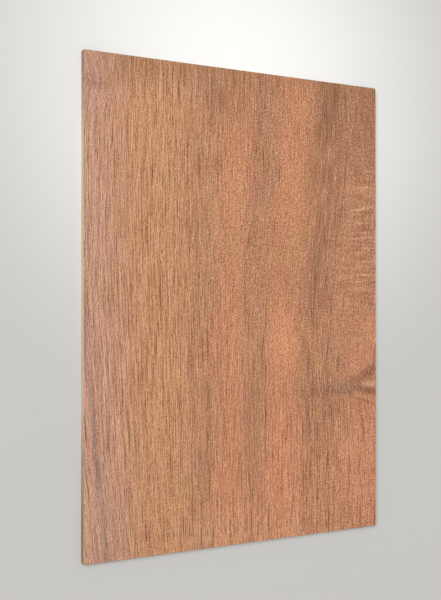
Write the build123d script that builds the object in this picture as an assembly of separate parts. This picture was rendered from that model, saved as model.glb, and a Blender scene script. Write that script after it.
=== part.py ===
from build123d import *
import os

# Decorative compact laminate sheet, cut to A4
#
# The sheet is one pressed board: printed decor paper over a stack of resin-filled core
# papers, cured under heat into a single solid, then sawn square to size. It has a square
# section, corners that are just dulled, and a fine bevel that takes the sharp edge off the
# decor face all the way round. The back edges stay as sawn.
#
# Frame: the sheet lies flat with its decor face up. +X runs across the grain, +Y runs along
# it, and +Z points out of the decor face. The origin is the centre of the back face.

# Driving dimensions, in millimetres
SHEET_WIDTH = 210.0  # across the grain, the short side of A4
SHEET_LENGTH = 297.0  # along the grain, the long side of A4
SHEET_THICKNESS = 4.0  # from the back face to the decor face
CORNER_RADIUS = 0.6  # the four corners, dulled after sawing
FACE_ARRIS = 0.2  # bevel round the decor face, 45 degrees


def pressed_blank() -> Part:
    """The board as pressed and sawn: a flat plate with dulled corners, on its back face."""
    outline = RectangleRounded(SHEET_WIDTH, SHEET_LENGTH, CORNER_RADIUS)
    return extrude(outline, SHEET_THICKNESS)


def ease_decor_face(blank: Part) -> Part:
    """The blank with the fine bevel that runs round its decor face."""
    decor_face = blank.faces().sort_by(Axis.Z)[-1]
    return chamfer(decor_face.edges(), FACE_ARRIS)


def laminate_sheet() -> Part:
    """The finished sheet, one solid."""
    return ease_decor_face(pressed_blank())


os.makedirs("parts", exist_ok=True)
export_step(laminate_sheet(), "parts/laminate_sheet.step")
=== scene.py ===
import math

import bpy
import numpy as np
from mathutils import Matrix, Vector


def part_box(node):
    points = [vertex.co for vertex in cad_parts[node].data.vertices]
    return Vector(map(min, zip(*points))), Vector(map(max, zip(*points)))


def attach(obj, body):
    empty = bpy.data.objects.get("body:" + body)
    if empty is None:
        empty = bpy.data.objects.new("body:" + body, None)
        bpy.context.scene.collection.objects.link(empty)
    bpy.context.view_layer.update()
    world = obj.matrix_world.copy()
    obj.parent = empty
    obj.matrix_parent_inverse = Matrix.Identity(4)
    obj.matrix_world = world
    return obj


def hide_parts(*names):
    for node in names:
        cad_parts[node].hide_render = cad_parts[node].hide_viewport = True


# Looks of the decorative laminate sheet: the embossed wood decor face, the sawn edges and
# the sanded back. Lengths and places are written in millimetres in the row frame, unless a
# line says metres, with x across the grain, y along it towards the head of the sheet, and z
# out of the decor face.

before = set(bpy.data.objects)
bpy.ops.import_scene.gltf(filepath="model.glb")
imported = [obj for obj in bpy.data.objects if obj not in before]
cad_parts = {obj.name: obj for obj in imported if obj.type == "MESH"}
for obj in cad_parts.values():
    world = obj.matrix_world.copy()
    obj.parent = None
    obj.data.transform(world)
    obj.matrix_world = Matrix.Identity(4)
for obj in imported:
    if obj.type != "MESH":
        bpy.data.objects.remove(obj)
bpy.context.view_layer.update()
MM = 0.001  # metres in a millimetre

# The sheet, as the frame gives it
SHEET_LOW, SHEET_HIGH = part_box("laminate_sheet")
SHEET_WIDTH, SHEET_LENGTH, SHEET_THICKNESS = (SHEET_HIGH - SHEET_LOW) / MM
HALF_WIDTH = SHEET_WIDTH / 2
HALF_LENGTH = SHEET_LENGTH / 2
CORNER_RADIUS = 0.6  # the four corners, dulled after sawing
FACE_ARRIS = 0.2  # the fine bevel round the decor face
SHARP_ANGLE = math.radians(30)  # edges sharper than this aren't shaded smooth

# The press plate's relief, which the finished face carries
CELL_ACROSS = 0.53  # mesh cell of the face, fine across the grain
CELL_ALONG = 1.38  # and longer along it
EMBOSS_DEPTH = 0.08  # from the face to the bottom of a groove
EMBOSS_SHARES = (0.35, 0.5, 0.5)  # of that depth, what rings, threads and vessels each sink
EMBOSS_MARGIN = 1.5  # the relief dies out this near the bevel
FACE_BAND = 0.05  # only what is this near the face's level is sunk

# Bends in the grain
ARCH_TOP = 58.5  # how far up the sheet the arch at the left turns
ARCH_CURVE = 0.00037  # sideways drift of the arch, for each mm of height squared
ARCH_REACH = 85.0  # how far in from the left edge the arch is felt
DRIFT = 13.0  # how far the grain of the right half wanders to the left
DRIFT_TOP, DRIFT_FOOT = 113.0, -16.0  # the heights that it wanders between
DRIFT_START, DRIFT_FULL = -30.0, 30.0  # the places across where it sets in
KNOTS = (  # place, reach across and along, and how far the grain bends to the right round it
    ((103.0, -50.0), (46.0, 40.0), -8.0),
    ((-107.0, 131.0), (34.0, 26.0), 10.0),
)
WANDERS = (  # how far every line wanders, and the size of a wave across and along
    (0.6, (30.0, 70.0)),
    (0.2, (4.0, 10.0)),
)


def linear(code):
    """Linear colour, with alpha, of an sRGB hex code."""
    parts = [int(code[i : i + 2], 16) / 255 for i in (1, 3, 5)]
    return [c / 12.92 if c <= 0.04045 else ((c + 0.055) / 1.055) ** 2.4 for c in parts] + [1.0]


def add(tree, kind, links=(), **settings):
    """Adds one node with its settings, and gives its inputs, in order or by name.

    An input is a number, a vector, a hex colour, or the node or output that feeds it.
    """
    made = tree.nodes.new(kind)
    for name, value in settings.items():
        if name == "stops":
            stops = made.color_ramp.elements
            while len(stops) < len(value):
                stops.new(1.0)
            for stop, (place, code) in zip(stops, sorted(value.items())):
                stop.position = place
                stop.color = linear(code)
        else:
            setattr(made, name, value)
    inputs = [socket for socket in made.inputs if socket.enabled]
    named = links.items() if isinstance(links, dict) else enumerate(links)
    for key, value in named:
        socket = inputs[key] if isinstance(key, int) else next(s for s in inputs if s.name == key)
        if isinstance(value, bpy.types.Node):
            value = next(output for output in value.outputs if output.enabled)
        if isinstance(value, bpy.types.NodeSocket):
            tree.links.new(value, socket)
        elif isinstance(value, str):
            socket.default_value = linear(value)
        else:
            socket.default_value = value
    return made


# The grain: patterns that the printed colour and the pressed relief share


def grain_place(tree, at):
    """The place on the face, at, in mm, with the bends of the grain taken out.

    A line of the grain has one value of x all along this new place.
    """
    split = add(tree, "ShaderNodeSeparateXYZ", [at])
    across, along = split.outputs["X"], split.outputs["Y"]

    arch_height = add(tree, "ShaderNodeMath", [along, ARCH_TOP], operation="SUBTRACT")
    arch_square = add(tree, "ShaderNodeMath", [arch_height, 2.0], operation="POWER")
    arch_share = add(
        tree, "ShaderNodeMapRange", [across, -HALF_WIDTH, ARCH_REACH - HALF_WIDTH, ARCH_CURVE, 0.0],
        interpolation_type="SMOOTHSTEP",
    )
    arch = add(tree, "ShaderNodeMath", [arch_square, arch_share], operation="MULTIPLY")

    drift_height = add(
        tree, "ShaderNodeMapRange", [along, DRIFT_FOOT, DRIFT_TOP, -DRIFT, 0.0],
        interpolation_type="SMOOTHSTEP",
    )
    drift_share = add(
        tree, "ShaderNodeMapRange", [across, DRIFT_START, DRIFT_FULL, 0.0, 1.0],
        interpolation_type="SMOOTHSTEP",
    )
    shift = add(tree, "ShaderNodeMath", [drift_height, drift_share, arch], operation="MULTIPLY_ADD")

    for knot, reach, bend in KNOTS:
        from_knot = add(tree, "ShaderNodeVectorMath", [at, (*knot, 0.0)], operation="SUBTRACT")
        in_reach = add(
            tree, "ShaderNodeVectorMath", [from_knot, (1 / reach[0], 1 / reach[1], 0.0)],
            operation="MULTIPLY",
        )
        near = add(tree, "ShaderNodeTexGradient", [in_reach], gradient_type="QUADRATIC_SPHERE")
        shift = add(
            tree, "ShaderNodeMath", [near.outputs["Fac"], bend, shift], operation="MULTIPLY_ADD",
        )

    for far, size in WANDERS:
        wander = streaks(tree, at, size)
        shift = add(tree, "ShaderNodeMath", [wander, far, shift], operation="MULTIPLY_ADD")
    straight = add(tree, "ShaderNodeMath", [across, shift], operation="SUBTRACT")
    return add(tree, "ShaderNodeCombineXYZ", [straight, along, 0.0])


def streaks(tree, place, size, detail=0.0, offset=0.0, distortion=0.0):
    """Noise from -1 to 1, whose spots are as long along each axis as size says, in mm."""
    scale = [1 / length for length in size] + [0.0] * (3 - len(size))
    stretched = add(
        tree, "ShaderNodeVectorMath", [place, scale, (offset, offset, 0.0)], operation="MULTIPLY_ADD",
    )
    noise = add(
        tree, "ShaderNodeTexNoise",
        {"Vector": stretched, "Scale": 1.0, "Detail": detail, "Distortion": distortion},
        noise_dimensions=f"{len(size)}D",
    )
    # Nearly all of the noise lies between 0.25 and 0.75
    return add(tree, "ShaderNodeMapRange", [noise, 0.25, 0.75, -1.0, 1.0])


def grooves(tree, grain, size, start, full, offset):
    """Sharp lines along the grain, from 0 between them to 1 in their middle."""
    wave = streaks(tree, grain, size, detail=1.0, offset=offset)
    return add(
        tree, "ShaderNodeMapRange", [wave, start, full, 0.0, 1.0], interpolation_type="SMOOTHSTEP",
    )


def vessels(tree, grain, spacing, length, width, offset):
    """Open vessels cut lengthwise: short dashes, each of its own strength, from 0 to 1."""
    stretched = add(
        tree, "ShaderNodeVectorMath", [grain, (1 / spacing, 1 / length, 0.0), (offset, offset, 0.0)],
        operation="MULTIPLY_ADD",
    )
    cells = add(
        tree, "ShaderNodeTexVoronoi", {"Vector": stretched, "Scale": 1.0},
        voronoi_dimensions="2D", feature="F1",
    )
    # A slit has its full depth over the middle quarter of its width, and one cell in five has none
    slit = add(
        tree, "ShaderNodeMapRange",
        [cells.outputs["Distance"], width / spacing * 0.25, width / spacing, 1.0, 0.0],
        interpolation_type="SMOOTHSTEP",
    )
    chance = add(tree, "ShaderNodeSeparateXYZ", [cells.outputs["Color"]])
    strength = add(tree, "ShaderNodeMapRange", [chance.outputs["X"], 0.2, 1.0, 0.0, 1.0])
    return add(tree, "ShaderNodeMath", [slit, strength], operation="MULTIPLY")


def pressed_patterns(tree, grain):
    """What the press plate sinks into the face: rings, threads and vessels, each from 0 to 1."""
    rings = grooves(tree, grain, (1.3, 170.0), 0.15, 0.9, offset=7.7)
    threads = grooves(tree, grain, (0.95, 38.0), 0.1, 0.8, offset=31.3)
    slits = vessels(tree, grain, spacing=1.2, length=7.0, width=0.34, offset=5.5)
    return rings, threads, slits


# The print: tones across the board, and marks of the tree that show by themselves, with a few
# patches of painted shade and painted light among them. Places are in mm from the left edge and
# down from the head of the sheet.

TONES_ACROSS = {  # place across: the tone, which keeps to its line of the grain
    0: "#C39279",  # rose
    18: "#C68F6D",
    34: "#C5895F",  # honey
    60: "#C68B5F",
    72: "#BB815A",  # bark
    82: "#BB815A",
    92: "#C38258",  # salmon
    108: "#C38258",
    117: "#B67A54",
    126: "#B77C58",
    140: "#C78359",  # copper
    156: "#C18057",
    168: "#B07652",  # umber
    184: "#B07652",
    190: "#B67C56",
    210: "#B97955",
}

# Marks by tone: place across and down, half width, half length, lean in degrees, strength.
# A lean above 0 takes a mark to the right on its way down. The long marks keep to one line
# of the grain, through all its bends.
LONG_MARKS = {
    "#7A4A22": [  # umber
        (185.5, 66, 0.8, 70, 0, 0.75),
        (185.5, 150, 0.8, 40, 0, 0.45),
        (118.0, 88, 0.9, 110, 0, 0.30),
        (168.0, 108, 1.2, 80, 0, 0.30),
        (172.0, 128, 1.2, 90, 0, 0.30),
        (179.5, 148, 0.8, 90, 0, 0.30),
        (19.0, 80, 0.7, 60, 0, 0.50),
        (27.0, 180, 0.7, 110, 0, 0.45),
    ],
    "#786258": [  # mauve
        (0.4, 240, 2.6, 100, 0, 0.75),
        (3.0, 105, 0.9, 50, 0, 0.35),
        (8.5, 110, 0.9, 45, 0, 0.30),
        (14.0, 100, 0.9, 60, 0, 0.30),
        (21.0, 115, 0.9, 60, 0, 0.25),
        (6.0, 188, 1.1, 110, 0, 0.30),
        (11.5, 138, 1.1, 130, 0, 0.25),
        (16.5, 178, 1.0, 110, 0, 0.25),
    ],
}

# The others lie as they are on the sheet
SHORT_MARKS = {
    "#885B35": [  # soft umber, with painted shade along the head and at its right corner
        (173, 16, 13, 40, 0, 0.55),
        (161, 130, 12, 40, -6, 0.42),
        # painted shade: darker at the head's right corner
        (203, 26, 22, 60, 0, 0.50),
        # painted shade: darker all along the head
        (135, -4, 120, 20, 0, 0.28),
        (26, -2, 24, 30, 0, 0.55),
        (98, 14, 18, 28, 0, 0.38),
        (50, 4, 20, 22, 0, 0.25),
        (125, 58, 10, 60, -5, 0.12),
        (130, 120, 18, 34, 0, 0.20),
        (163, 230, 4, 9, 0, 0.45),
        (127, 75, 1.4, 12, -6, 0.60),
        (110, 107, 1.4, 8, -5, 1.30),
        (177, 12, 1.8, 11, 0, 0.60),
        (185, 14, 2.0, 18, 0, 0.80),
        (14, 292, 7, 20, 0, 0.35),
        (68, 2, 7, 18, 0, 0.35),
        (90, 26, 4, 36, 0, 0.40),
        (160, 52, 11, 44, -4, 0.35),
        (178, 48, 4, 42, -4, 0.35),
    ],
    "#E2AA80": [  # pale honey
        (112, 292, 76, 24, 0, 0.30),
    ],
    "#7B6054": [  # mauve
        (7.5, 40, 1.2, 13, -4, 0.60),
        (10.5, 68, 1.0, 8, 0, 0.60),
        (14, 92, 1.0, 9, 0, 0.60),
        (84, 12, 12, 16, 0, 0.25),
        (122, 25, 7, 16, 0, 0.22),
        (120, 180, 1.4, 17, 0, 0.30),
        (77, 250, 4, 24, 0, 0.30),
        (187, 262, 1.2, 38, 0, 0.50),
        (15, 230, 1.1, 8, 3, 0.60),
        (14, 180, 0.9, 9, 2, 0.60),
        (20.5, 8, 0.9, 12, 6, 0.50),
        (2.5, 32, 1.2, 17, -6, 0.60),
        (1.5, 165, 3, 34, 0, 0.50),
        (0, 64, 1.8, 28, 0, 0.40),
        (18, 272, 18, 40, 0, 0.12),
    ],
    "#9A6A5A": [  # rosy mauve, round the small knot at the head's left corner
        (5, 18, 6, 16, 75, 0.60),
        (9, 10, 1.2, 12, 20, 0.55),
        (4, 8, 1.2, 10, 24, 0.55),
        (14, 6, 1.2, 10, 14, 0.45),
    ],
}

# Pores that the print shows as fine dark lines: place across and down, half length, lean,
# strength
PORE_TONE = "#7B471E"
PORE_HALF_WIDTH = 0.6
PORE_LINES = [
    (52.5, 15, 12, 0, 0.8), (60.5, 16, 17, 0, 1.0), (59, 46, 16, 1, 0.9), (60, 89, 8, 0, 1.0),
    (62.2, 5, 12, 0, 1.0), (52.5, 121, 18, 0, 0.9), (53.6, 145, 15, 0, 0.9), (74.9, 153, 9, 0, 0.7),
    (67, 71, 13, 0, 1.0), (30.5, 70, 20, 0, 0.7), (37.5, 71, 13, 0, 0.7), (27, 41, 10, 0, 0.3),
    (50.5, 70, 8, 0, 0.8), (44, 40, 12, 0, 0.6), (74.5, 65, 13, 0, 0.7), (80, 65, 7, 0, 0.6),
    (70, 98, 11, 0, 0.8), (74, 100, 9, 0, 0.7), (68, 112, 13, 0, 0.6), (33, 129, 12, 0, 0.6),
    (118.3, 10, 12, 2, 0.8), (118, 38, 24, -1, 0.5), (120.8, 54, 11, 2, 1.1), (115.5, 50, 11, -4, 0.9),
    (113.5, 45, 18, -1, 0.5), (132.9, 63, 12, -3, 1.2), (131, 7, 9, 5, 0.8), (136, 15, 17, -2, 0.6),
    (107, 130, 21, -3, 0.6), (107.6, 152, 15, 0, 0.9), (129, 97, 7, -3, 0.9), (166.6, 62, 11, -5, 1.1),
    (164.3, 91, 12, -7, 1.1), (168, 101, 14, 4, 1.0), (176.5, 88, 16, -4, 0.7), (170, 85, 13, -4, 0.6),
    (163.5, 40, 19, -2, 0.6), (167.5, 24, 14, -2, 0.4), (170.3, 27, 15, -5, 0.7), (173, 18, 13, -2, 0.6),
    (178.7, 10, 13, 4, 0.9), (179.7, 67, 11, -3, 0.8), (160.4, 126, 14, -8, 0.7), (157.4, 152, 15, -3, 0.7),
    (197, 110, 18, -1, 0.5), (33, 157, 11, 0, 1.0), (34.5, 192, 15, 1, 0.9), (40, 180, 17, 0, 0.9),
    (24, 205, 19, 2, 0.7), (26, 235, 13, 2, 0.9), (28.5, 265, 15, 2, 0.7), (46, 172, 10, 0, 0.8),
    (52.5, 160, 13, 0, 0.8), (54.5, 205, 12, 0, 0.8), (55.5, 243, 15, 0, 1.1), (61, 154, 9, 0, 1.0),
    (61.5, 210, 9, 0, 0.9), (64, 281, 19, 1, 1.1), (68, 180, 29, 0, 0.8), (70.5, 272, 21, 1, 0.9),
    (82, 255, 23, 0, 1.1), (82, 210, 9, 0, 0.7), (51, 286, 14, 0, 0.9), (39, 283, 11, 1, 0.7),
    (110, 162, 15, 0, 0.9), (110.6, 260, 16, 10, 0.8), (111.9, 284, 17, 0, 1.0), (122.6, 157, 11, 0, 1.1),
    (120.4, 174, 14, -4, 1.1), (122.4, 190, 12, 0, 0.9), (122.4, 218, 17, 0, 1.0), (122, 240, 12, 0, 0.7),
    (124.7, 284, 16, 1, 1.1), (134.5, 260, 12, 2, 0.9), (141, 225, 13, 0, 0.6), (142.4, 276, 15, -4, 0.9),
    (150.8, 262, 17, 0, 0.9), (150, 290, 12, 0, 0.6), (161.8, 162, 13, 0, 0.9), (155, 185, 17, -1, 1.0),
    (155.5, 225, 21, 3, 1.1), (156, 255, 16, -3, 1.0), (155.6, 287, 14, 0, 0.6), (159.3, 160, 12, 0, 0.5),
    (161.6, 247, 11, 3, 1.2), (161.9, 270, 12, 0, 1.2), (161.4, 290, 10, -2, 0.8), (170, 177, 13, -7, 1.1),
    (170, 200, 14, 0, 0.6), (170.2, 246, 14, -2, 1.2), (170.8, 290, 12, 2, 1.4), (174.5, 291, 11, 0, 1.0),
    (177.7, 244, 15, 0, 1.2), (179.5, 217, 8, -4, 0.9), (184.3, 225, 7, 4, 0.8), (187.8, 256, 20, 0, 0.9),
    (199.4, 232, 10, 4, 0.9), (196.6, 252, 9, -4, 1.1), (196.6, 289, 14, -2, 1.1),
    (208.6, 290, 12, -2, 1.1), (178.6, 184, 11, -5, 1.0), (201, 178, 10, -6, 0.7),
    (24, 14, 14, 4, 0.5), (104, 8, 10, 0, 0.5),
]

# Broad patches where the wood is warmer, with no grit in them, and one patch of painted light
# at the foot's right corner
GLOW_MARKS = {
    "#DD9468": [  # copper
        (100, 75, 15, 26, 0, 0.35),
        (142, 68, 11, 52, -4, 0.25),
        (136, 172, 15, 32, 0, 0.85),
        (100, 180, 14, 46, 0, 0.35),
        (197, 68, 22, 8, 0, 0.45),
        (195, 185, 12, 14, 0, 0.45),
        (205, 170, 10, 20, 0, 0.75),
        (158, 168, 8, 18, 0, 0.30),
        (112, 170, 8, 20, 0, 0.25),
        (82, 176, 8, 26, 0, 0.25),
    ],
    "#DC9068": [  # salmon
        # painted light: lighter towards the foot's right corner
        (206, 258, 26, 74, 0, 0.85),
        (186, 250, 14, 60, 0, 0.40),
        (166, 272, 26, 60, 0, 0.50),
        (136, 262, 22, 76, 0, 0.65),
        (112, 290, 20, 40, 0, 0.35),
        (95, 259, 24, 80, 0, 0.35),
        (66, 205, 12, 40, 0, 0.25),
        (180, 138, 30, 60, 0, 0.20),
    ],
    "#D29C66": [  # gold
        (163, 187, 5.0, 11, 0, 0.60),
        (163, 217, 5.0, 9, 0, 0.50),
        (166, 160, 4.0, 14, 0, 0.35),
        (50, 63, 14, 70, 0, 0.15),
        (51, 205, 14, 40, 0, 0.20),
    ],
}

# Ripples of the grain at the right, which run across it
RIPPLE_MARKS = {
    "#E2AC84": [  # pale crests
        (199, 82.5, 1.2, 15, 103, 1.0),
        (201, 68, 1.2, 12, 93, 0.9),
        (200, 102, 1.1, 12, 96, 0.9),
        (205, 57, 1.0, 8, 96, 0.8),
        (200, 127, 1.0, 12, 92, 0.8),
        (203, 109, 1.0, 8, 92, 0.7),
        (197, 92.5, 0.9, 10, 94, 0.7),
        (204, 74, 0.9, 7, 97, 0.6),
        (201, 118, 0.9, 8, 88, 0.6),
    ],
    "#8C5A38": [  # the hollows between them
        (200, 86.5, 1.1, 13, 103, 0.7),
        (203, 64.5, 1.1, 10, 93, 0.6),
        (202, 97, 1.2, 9, 90, 0.5),
        (200, 92, 2.0, 5, 20, 0.5),
    ],
}

# The knot at the right edge, whose marks lie across the grain
KNOT_MARKS = {
    "#9C6A4A": [  # the brown smear that leads to it
        (173, 203.5, 6.0, 32, 90, 1.10),
        (189, 200.5, 6.0, 15, 100, 1.00),
    ],
    "#8D5533": [  # its dark arms, and the hook and the thin arc below them
        (204, 192.5, 5.0, 18, 110, 0.95),
        (203, 205, 3.4, 17, 76, 1.10),
        (189, 207, 2.0, 5, 20, 0.80),
        (203, 212.5, 1.2, 10, 72, 0.70),
    ],
    "#DDA274": [  # its pale heart, and the pale line below
        (206, 200.5, 3.0, 9, 86, 1.20),
        (200, 209.5, 1.2, 10, 74, 0.60),
    ],
}

# Zones of the face, written as marks are, without a strength
CLOSE_GRAIN = (160, 98, 110, 150)
LINED_BAND = (168, 70, 14, 120, -3)  # open grain in the midst of the close
FOOT_GRAIN = (190, 270, 80, 110)  # half close
LEFT_GRAIN = (14, 180, 50, 190)  # where the lines are longest
RIPPLED_GRAIN = (203, 118, 34, 80)

# The fine print swings between two tones, the pale one partly a painted sheen on the light
# flecks, and its hue drifts between two others
DEEP_TONE, DEEP_SHARE = "#6C3000", 1.06
PALE_AND_SHEEN_TONE, PALE_AND_SHEEN_SHARE = "#F7CDA8", 0.71
ROSY_TONE, OLIVE_TONE, HUE_SHARE = "#CC8070", "#B89058", 0.2
FAINT_GAIN, FULL_GAIN = 0.76, 1.02  # the print is faintest along the left edge
FULL_GAIN_FROM = -60.0  # and has its full strength from here on


def tone_across(tree, grain):
    """The board's own colour, which changes across the grain and hardly along it."""
    split = add(tree, "ShaderNodeSeparateXYZ", [grain])
    share = add(tree, "ShaderNodeMapRange", [split.outputs["X"], -HALF_WIDTH, HALF_WIDTH, 0.0, 1.0])
    stops = {place / SHEET_WIDTH: code for place, code in TONES_ACROSS.items()}
    return add(tree, "ShaderNodeValToRGB", [share], stops=stops)


def mark(tree, place, across, down, half_width, half_length, lean=0.0):
    """Soft spindle-shaped patch, 1 at its middle and 0 at its rim."""
    middle = (across - HALF_WIDTH, HALF_LENGTH - down, 0.0)
    placed = add(
        tree, "ShaderNodeMapping",
        [place, middle, (0.0, 0.0, math.radians(lean)), (half_width, half_length, 1.0)],
        vector_type="TEXTURE",
    )
    return add(tree, "ShaderNodeTexGradient", [placed], gradient_type="SPHERICAL").outputs["Fac"]


def cover(tree, place, patches):
    """How far the patches cover a place: 0 off them, and their strengths added up in them."""
    total = 0.0
    for *spot, strength in patches:
        shape = mark(tree, place, *spot)
        total = add(tree, "ShaderNodeMath", [shape, strength, total], operation="MULTIPLY_ADD")
    return total


def stained(tree, colour, place, marks, grit=1.0):
    """colour with every mark laid over it in the mark's tone, broken up by grit."""
    for tone, patches in marks.items():
        covered = cover(tree, place, patches)
        broken = add(tree, "ShaderNodeMath", [covered, grit], operation="MULTIPLY", use_clamp=True)
        colour = add(tree, "ShaderNodeMix", {"Factor": broken, "A": colour, "B": tone}, data_type="RGBA")
    return colour


def new_material(name):
    """A material with an empty node tree, the tree, and the place in mm in the row frame."""
    material = bpy.data.materials.new(name)
    material.use_nodes = True
    tree = material.node_tree
    tree.nodes.clear()
    place = add(tree, "ShaderNodeTexCoord").outputs["Object"]
    place = add(tree, "ShaderNodeVectorMath", [place, (1 / MM,) * 3], operation="MULTIPLY")
    return material, tree, place


def embossed_melamine_decor():
    """Melamine-faced wood decor: printed paper under clear resin, pressed against a steel plate
    that is etched with wood pores. It gives an even, warm print, a soft satin light on the high
    parts and dull short strokes where the pores are.
    """
    material, tree, place = new_material("embossed_melamine_wood_decor")
    place = add(tree, "ShaderNodeVectorMath", [place, (1.0, 1.0, 0.0)], operation="MULTIPLY")
    grain = grain_place(tree, place)

    # Where the grain is close, the print is speckled; elsewhere it is open, with lines
    close = mark(tree, place, *CLOSE_GRAIN)
    close = add(tree, "ShaderNodeMapRange", [close, 0.1, 0.5, 0.0, 1.0], interpolation_type="SMOOTHSTEP")
    lined = mark(tree, place, *LINED_BAND)
    lined = add(tree, "ShaderNodeMath", [lined, 1.5], operation="MULTIPLY", use_clamp=True)
    open_grain = add(tree, "ShaderNodeMapRange", [close, 0.0, 1.0, 1.0, lined])
    foot = mark(tree, place, *FOOT_GRAIN)
    open_grain = add(
        tree, "ShaderNodeMath", [foot, -0.5, open_grain], operation="MULTIPLY_ADD", use_clamp=True,
    )

    def by_grain(when_close, when_open):
        """A value that goes from when_close to when_open as the grain opens."""
        return add(tree, "ShaderNodeMapRange", [open_grain, 0.0, 1.0, when_close, when_open])

    # The suede of the press plate has a grit of about 0.3 mm, drawn at 0.8 mm so that it shows.
    # Its specks are also printed light and dark, as painted light and shade of that relief
    suede = streaks(tree, place, (0.8, 1.0), offset=21.9, distortion=0.6)
    long_suede = streaks(tree, grain, (0.75, 4.5), offset=15.3)
    ripples = streaks(tree, place, (16.0, 2.4), offset=41.7)
    ripple_reach = mark(tree, place, *RIPPLED_GRAIN)
    rings, threads, slits = pressed_patterns(tree, grain)
    grit = add(tree, "ShaderNodeMath", [long_suede, 0.4, 1.0], operation="MULTIPLY_ADD")
    lines = cover(tree, place, [(x, y, PORE_HALF_WIDTH, *rest) for x, y, *rest in PORE_LINES])
    lines = add(tree, "ShaderNodeMath", [lines, grit], operation="MULTIPLY", use_clamp=True)
    # At the left the lines are stronger and the speckle weaker, and at the foot it is stronger
    left = mark(tree, place, *LEFT_GRAIN)
    lengthy = add(tree, "ShaderNodeMath", [left, 0.16, by_grain(0.05, 0.13)], operation="MULTIPLY_ADD")
    # Painted light and shade of the suede's relief, printed as speckle
    speckled = add(tree, "ShaderNodeMath", [foot, 0.12, by_grain(0.40, 0.25)], operation="MULTIPLY_ADD")
    speckled = add(tree, "ShaderNodeMath", [left, -0.08, speckled], operation="MULTIPLY_ADD")
    layers = (  # a pattern, how far it lightens the print, and how high it stands
        (streaks(tree, grain, (5.0, 160.0), detail=1.0, offset=3.1), 0.03, 0.0),
        (streaks(tree, grain, (0.75, 14.0), offset=12.3), by_grain(0.14, 0.19), by_grain(0.4, 0.9)),
        (streaks(tree, grain, (0.75, 45.0), offset=33.3), lengthy, by_grain(0.1, 0.5)),
        (suede, speckled, 1.1),
        (long_suede, by_grain(0.11, 0.13), 0.7),
        (ripples, add(tree, "ShaderNodeMath", [ripple_reach, 0.2], operation="MULTIPLY"), 0.3),
        (rings, by_grain(-0.04, -0.16), -0.3),
        (threads, by_grain(-0.10, -0.28), by_grain(-0.2, -0.6)),
        (slits, by_grain(-0.12, -0.30), -1.0),
    )
    swing = height = 0.0
    for pattern, printed, pressed in layers:
        swing = add(tree, "ShaderNodeMath", [pattern, printed, swing], operation="MULTIPLY_ADD")
        height = add(tree, "ShaderNodeMath", [pattern, pressed, height], operation="MULTIPLY_ADD")
    across = add(tree, "ShaderNodeSeparateXYZ", [place])
    gain = add(
        tree, "ShaderNodeMapRange", [across, -HALF_WIDTH, FULL_GAIN_FROM, FAINT_GAIN, FULL_GAIN],
    )
    swing = add(tree, "ShaderNodeMath", [swing, gain], operation="MULTIPLY")
    deep = add(tree, "ShaderNodeMath", [swing, -DEEP_SHARE], operation="MULTIPLY", use_clamp=True)
    # The pale side of the swing is partly painted sheen on the light flecks
    pale = add(tree, "ShaderNodeMath", [swing, PALE_AND_SHEEN_SHARE], operation="MULTIPLY", use_clamp=True)

    hue = streaks(tree, grain, (4.0, 30.0), detail=1.0, offset=51.1)
    rosy = add(tree, "ShaderNodeMath", [hue, HUE_SHARE], operation="MULTIPLY", use_clamp=True)
    olive = add(tree, "ShaderNodeMath", [hue, -HUE_SHARE], operation="MULTIPLY", use_clamp=True)

    colour = tone_across(tree, grain)
    for share, tone in ((rosy, ROSY_TONE), (olive, OLIVE_TONE)):
        colour = add(tree, "ShaderNodeMix", {"Factor": share, "A": colour, "B": tone}, data_type="RGBA")
    colour = stained(tree, colour, place, GLOW_MARKS)
    colour = stained(tree, colour, grain, LONG_MARKS, grit)
    colour = stained(tree, colour, place, SHORT_MARKS, grit)
    colour = stained(tree, colour, place, RIPPLE_MARKS, grit)
    colour = stained(tree, colour, place, KNOT_MARKS)
    for share, tone in ((deep, DEEP_TONE), (pale, PALE_AND_SHEEN_TONE), (lines, PORE_TONE)):
        colour = add(tree, "ShaderNodeMix", {"Factor": share, "A": colour, "B": tone}, data_type="RGBA")

    bump = add(
        tree, "ShaderNodeBump", {"Strength": 1.0, "Distance": 0.1 * MM, "Height": height},
    )
    finish = add(
        tree, "ShaderNodeBsdfPrincipled",
        {"Base Color": colour, "Roughness": 0.5, "IOR": 1.55, "Normal": bump},
    )
    add(tree, "ShaderNodeOutputMaterial", {"Surface": finish})
    return material


# The sawn edge: its pale and its dark papers, and the decor paper at the top of the bevel
CORE_TONES = ("#CBBBA2", "#8B7A64")
DECOR_TONE = "#9C6A48"
DECOR_PAPER = 0.12  # the printed layer, which shows as a line on the bevel
DECOR_FADE = 0.02  # how softly that line begins

# The sanded back, high and scratched
BACK_TONES = ("#B8A68D", "#8F7E69")

# Painted shade on the edges: darker towards the ends of both long sides
PAINTED_SHADE_ENDS = {
    "#7E6D5A": [  # painted shade, in taupe
        (0, 0, 40, 52, 0, 1.3),
        (0, 280, 40, 76, 0, 1.2),
        (210, 0, 40, 52, 0, 1.3),
        (210, 280, 40, 76, 0, 1.2),
    ],
}


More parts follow.
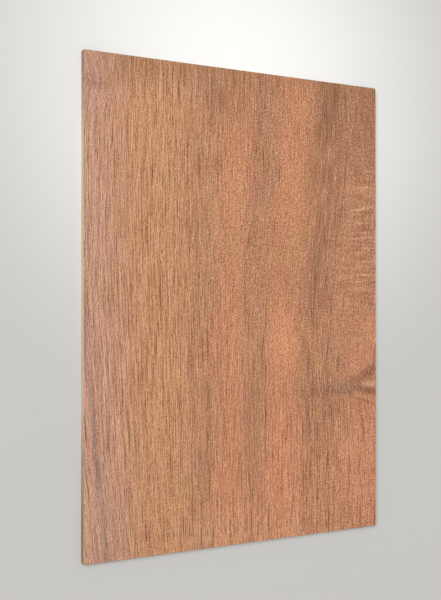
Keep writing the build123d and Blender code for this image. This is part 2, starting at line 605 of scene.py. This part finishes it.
def sawn_core_edge():
    """Laminate core of dyed papers, sawn and eased by hand: dull taupe, with the pressed papers
    as faint lines along the edge, the saw's fine scores across them, and the brown decor paper
    as a line at the top of the bevel.
    """
    material, tree, place = new_material("sawn_laminate_core")
    # A core paper is about 0.2 mm thick
    papers = streaks(tree, place, (90.0, 90.0, 0.2), offset=2.0)
    scores = streaks(tree, place, (0.35, 0.35, 5.0), detail=1.0, offset=9.0)
    cloud = streaks(tree, place, (30.0, 30.0, 9.0), detail=1.0, offset=4.0)
    swing = add(tree, "ShaderNodeMath", [papers, 0.22, 0.3], operation="MULTIPLY_ADD")
    swing = add(tree, "ShaderNodeMath", [scores, 0.15, swing], operation="MULTIPLY_ADD")
    swing = add(tree, "ShaderNodeMath", [cloud, 0.15, swing], operation="MULTIPLY_ADD", use_clamp=True)
    pale, dark = CORE_TONES
    colour = add(tree, "ShaderNodeMix", {"Factor": swing, "A": pale, "B": dark}, data_type="RGBA")
    flat_place = add(tree, "ShaderNodeVectorMath", [place, (1.0, 1.0, 0.0)], operation="MULTIPLY")
    grit = add(tree, "ShaderNodeMath", [scores, 0.2, 0.9], operation="MULTIPLY_ADD")
    # Painted shade: the long edges darken towards their ends
    colour = stained(tree, colour, flat_place, PAINTED_SHADE_ENDS, grit)
    height = add(tree, "ShaderNodeSeparateXYZ", [place]).outputs["Z"]
    decor_from = SHEET_THICKNESS - DECOR_PAPER
    decor = add(tree, "ShaderNodeMapRange", [height, decor_from - DECOR_FADE, decor_from, 0.0, 1.0])
    colour = add(
        tree, "ShaderNodeMix", {"Factor": decor, "A": colour, "B": DECOR_TONE}, data_type="RGBA",
    )
    relief = add(tree, "ShaderNodeMath", [papers, 0.5, scores], operation="MULTIPLY_ADD")
    bump = add(
        tree, "ShaderNodeBump", {"Strength": 0.5, "Distance": 0.03 * MM, "Height": relief},
    )
    finish = add(
        tree, "ShaderNodeBsdfPrincipled",
        {"Base Color": colour, "Roughness": 0.6, "IOR": 1.5, "Normal": bump},
    )
    add(tree, "ShaderNodeOutputMaterial", {"Surface": finish})
    return material


def sanded_back():
    """Phenolic backing paper, sanded so that glue keys to it: flat, dull taupe with fine
    lengthwise scratches from the belt and faint clouds where the belt cut deeper.
    """
    material, tree, place = new_material("sanded_phenolic_back")
    # 80 grit leaves scratches about 0.2 mm wide, drawn at 0.5 mm so that they show
    scratches = streaks(tree, place, (0.5, 60.0), detail=1.0, offset=6.0)
    clouds = streaks(tree, place, (22.0, 60.0), detail=2.0, offset=1.0)
    specks = streaks(tree, place, (0.7, 1.2), offset=13.0)
    swing = add(tree, "ShaderNodeMath", [scratches, 0.28, 0.45], operation="MULTIPLY_ADD")
    swing = add(tree, "ShaderNodeMath", [clouds, 0.14, swing], operation="MULTIPLY_ADD")
    swing = add(tree, "ShaderNodeMath", [specks, 0.12, swing], operation="MULTIPLY_ADD", use_clamp=True)
    high, scratched = BACK_TONES
    colour = add(tree, "ShaderNodeMix", {"Factor": swing, "A": high, "B": scratched}, data_type="RGBA")
    bump = add(
        tree, "ShaderNodeBump", {"Strength": 0.5, "Distance": 0.04 * MM, "Height": scratches},
    )
    finish = add(
        tree, "ShaderNodeBsdfPrincipled",
        {"Base Color": colour, "Roughness": 0.75, "IOR": 1.5, "Normal": bump},
    )
    add(tree, "ShaderNodeOutputMaterial", {"Surface": finish})
    return material


# The sheet's mesh


def grid_lines(half, rounding, cell):
    """Places of the mesh lines from -half to half: close at the corners, then a cell apart."""
    inner = half - rounding
    count = round(2 * inner / cell)
    middle = np.linspace(-inner, inner, count + 1)
    return np.concatenate(([-half, -half + rounding / 2], middle, [half - rounding / 2, half]))


def sheet_mesh():
    """The whole board: a fine grid on the face, the arris, the sawn edges and the back."""
    rounding = CORNER_RADIUS - FACE_ARRIS
    centre = np.array([HALF_WIDTH - CORNER_RADIUS, HALF_LENGTH - CORNER_RADIUS])
    xs = grid_lines(HALF_WIDTH - FACE_ARRIS, rounding, CELL_ACROSS)
    ys = grid_lines(HALF_LENGTH - FACE_ARRIS, rounding, CELL_ALONG)
    columns, rows = len(xs), len(ys)
    face = np.array([(x, y) for y in ys for x in xs])
    number = np.arange(columns * rows).reshape(rows, columns)

    # Round the rim, anticlockwise from the foot's left corner
    rim = np.concatenate((number[0, :-1], number[:-1, -1], number[-1, :0:-1], number[:0:-1, 0]))
    nearest = np.clip(face[rim], -centre, centre)
    outward = face[rim] - nearest
    outward /= np.linalg.norm(outward, axis=1)[:, None]
    face[rim] = nearest + outward * rounding
    outline = nearest + outward * CORNER_RADIUS

    low_left, low_right = number[:-1, :-1].ravel(), number[:-1, 1:].ravel()
    top_right, top_left = number[1:, 1:].ravel(), number[1:, :-1].ravel()
    faces = np.stack((low_left, low_right, top_right, top_left), 1).tolist()
    face_count = len(faces)
    points = [np.column_stack((face, np.full(len(face), SHEET_THICKNESS)))]
    ring = rim
    start = len(face)
    for level in (SHEET_THICKNESS - FACE_ARRIS, 0.0):
        points.append(np.column_stack((outline, np.full(len(outline), level))))
        lower = np.arange(start, start + len(outline))
        bands = np.stack((ring, lower, np.roll(lower, -1), np.roll(ring, -1)), 1)
        faces += bands.tolist()
        ring = lower
        start += len(outline)
    edge_count = len(faces) - face_count
    faces.append(ring[::-1].tolist())

    mesh = bpy.data.meshes.new("laminate_board")
    mesh.from_pydata((np.concatenate(points) * MM).tolist(), [], faces)
    finishes = (embossed_melamine_decor(), sawn_core_edge(), sanded_back())
    for finish in finishes:
        mesh.materials.append(finish)
    slots = [0] * face_count + [1] * edge_count + [2]
    mesh.polygons.foreach_set("material_index", slots)
    mesh.shade_smooth()
    mesh.set_sharp_from_angle(angle=SHARP_ANGLE)
    mesh.update()
    return mesh


def press_plate():
    """Geometry nodes that sink the grain's grooves into the decor face, down from its level."""
    tree = bpy.data.node_groups.new("press_plate", "GeometryNodeTree")
    for side in ("INPUT", "OUTPUT"):
        tree.interface.new_socket("Geometry", in_out=side, socket_type="NodeSocketGeometry")
    blank = add(tree, "NodeGroupInput")
    position = add(tree, "GeometryNodeInputPosition")
    place = add(tree, "ShaderNodeVectorMath", [position, (1 / MM,) * 3], operation="MULTIPLY")
    split = add(tree, "ShaderNodeSeparateXYZ", [place])
    sunk = 0.0
    for pattern, share in zip(pressed_patterns(tree, grain_place(tree, place)), EMBOSS_SHARES):
        sunk = add(
            tree, "ShaderNodeMath", [pattern, share, sunk], operation="MULTIPLY_ADD", use_clamp=True,
        )

    # Nothing below the face moves, and nothing beside the bevel
    face_from = SHEET_THICKNESS - FACE_BAND
    on_face = add(tree, "ShaderNodeMapRange", [split.outputs["Z"], face_from, SHEET_THICKNESS, 0.0, 1.0])
    sunk = add(tree, "ShaderNodeMath", [sunk, on_face], operation="MULTIPLY")
    for axis, half in (("X", HALF_WIDTH), ("Y", HALF_LENGTH)):
        rim = half - FACE_ARRIS
        out = add(tree, "ShaderNodeMath", [split.outputs[axis]], operation="ABSOLUTE")
        inside = add(tree, "ShaderNodeMapRange", [out, rim - EMBOSS_MARGIN, rim, 1.0, 0.0])
        sunk = add(tree, "ShaderNodeMath", [sunk, inside], operation="MULTIPLY")
    down = add(tree, "ShaderNodeMath", [sunk, -EMBOSS_DEPTH * MM], operation="MULTIPLY")
    offset = add(tree, "ShaderNodeCombineXYZ", [0.0, 0.0, down])
    pressed = add(tree, "GeometryNodeSetPosition", {"Geometry": blank, "Offset": offset})
    add(tree, "NodeGroupOutput", [pressed])
    return tree


def laminate_board():
    """The dressed sheet, which stands for the CAD solid."""
    board = bpy.data.objects.new("laminate_board", sheet_mesh())
    bpy.context.scene.collection.objects.link(board)
    board.modifiers.new("press_plate", "NODES").node_group = press_plate()
    pressed = board.evaluated_get(bpy.context.evaluated_depsgraph_get())
    board.data = bpy.data.meshes.new_from_object(pressed)
    board.modifiers.clear()
    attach(board, "root")
    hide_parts("laminate_sheet")
    return board


# The studio

FLOOR_HALF = 6.0  # metres, half the side of the floor
GREY_TONES = ("#BFBDBA", "#C8C6C3")  # the backdrop on the lamp's side, and on the other
GREY_FROM, GREY_TO = -150.0, 165.0  # the places across where it has them
PAINTED_LIGHT_TONE = "#F4F3F1"  # painted pool of light: the backdrop's white patch, behind the head of the sheet
PAINTED_LIGHT_PLACE = (6.0, 141.0)
PAINTED_LIGHT_REACH = 232.0
KEY_PLACE = (-1.5, 0.55, 1.95)  # metres
KEY_SIDE = 1.5  # metres
KEY_POWER = 59.0  # watts
ROOM_LIGHT = 0.45
LENS = 57.6
SENSOR = 36.0  # along the longer side of the picture
CAMERA_PLACE = (-0.30027, 0.00048, 0.52647)  # metres
CAMERA_TARGET = (-0.0153, 0.00416, 0.004)  # metres


def studio_floor():
    """Plain pale floor."""
    mesh = bpy.data.meshes.new("floor")
    corners = [(x * FLOOR_HALF, y * FLOOR_HALF, 0) for x, y in ((-1, -1), (1, -1), (1, 1), (-1, 1))]
    mesh.from_pydata(corners, [], [(0, 1, 2, 3)])
    floor = bpy.data.objects.new("floor", mesh)
    bpy.context.scene.collection.objects.link(floor)
    mesh.materials.append(studio_paper())


def studio_paper():
    """Matt backdrop paper, light grey, with a painted pool of light that whitens it behind the head
    of the sheet. Its grey is a little darker on the lamp's side, so that it looks even.
    """
    material, tree, place = new_material("matt_backdrop_paper")
    across = add(tree, "ShaderNodeSeparateXYZ", [place])
    from_lamp = add(tree, "ShaderNodeMapRange", [across, GREY_FROM, GREY_TO, 0.0, 1.0])
    near, far = GREY_TONES
    grey = add(tree, "ShaderNodeMix", {"Factor": from_lamp, "A": near, "B": far}, data_type="RGBA")
    # Painted light: a white pool on the backdrop behind the head of the sheet
    centred = add(
        tree, "ShaderNodeMapping", [place, (*PAINTED_LIGHT_PLACE, 0.0), (0.0, 0.0, 0.0), (PAINTED_LIGHT_REACH,) * 3],
        vector_type="TEXTURE",
    )
    spread = add(tree, "ShaderNodeTexGradient", [centred], gradient_type="SPHERICAL").outputs["Fac"]
    painted_light = add(tree, "ShaderNodeMapRange", [spread, 0.0, 1.0, 0.0, 1.0], interpolation_type="SMOOTHSTEP")
    tone = add(tree, "ShaderNodeMix", {"Factor": painted_light, "A": grey, "B": PAINTED_LIGHT_TONE}, data_type="RGBA")
    paper = add(tree, "ShaderNodeBsdfDiffuse", {"Color": tone})
    add(tree, "ShaderNodeOutputMaterial", {"Surface": paper})
    return material


def aimed(place, target):
    """Matrix of a lamp or camera at place, in metres, that looks at target with y up in view."""
    back = (Vector(place) - Vector(target)).normalized()
    right = Vector((0.0, 1.0, 0.0)).cross(back).normalized()
    up = back.cross(right)
    return Matrix.Translation(place) @ Matrix((right, up, back)).transposed().to_4x4()


def studio_light():
    """One large soft box on the left, and an even white room round the sheet."""
    lamp = bpy.data.lights.new("key_soft_box", "AREA")
    lamp.size = KEY_SIDE
    lamp.energy = KEY_POWER
    soft_box = bpy.data.objects.new("key_soft_box", lamp)
    soft_box.matrix_world = aimed(KEY_PLACE, (0.0, 0.0, 0.0))
    bpy.context.scene.collection.objects.link(soft_box)

    world = bpy.data.worlds.new("white_room")
    world.use_nodes = True
    room = world.node_tree.nodes["Background"]
    room.inputs["Color"].default_value = linear("#FFFFFF")
    room.inputs["Strength"].default_value = ROOM_LIGHT
    bpy.context.scene.world = world


def studio_camera():
    """The photograph's view: from the left of the sheet, looking down on it."""
    lens = bpy.data.cameras.new("camera")
    lens.lens = LENS
    lens.sensor_width = SENSOR
    camera = bpy.data.objects.new("camera", lens)
    camera.matrix_world = aimed(CAMERA_PLACE, CAMERA_TARGET)
    bpy.context.scene.collection.objects.link(camera)
    bpy.context.scene.camera = camera


# The scene

laminate_board()
studio_floor()
studio_light()
studio_camera()
bpy.context.scene.view_settings.view_transform = "Standard"
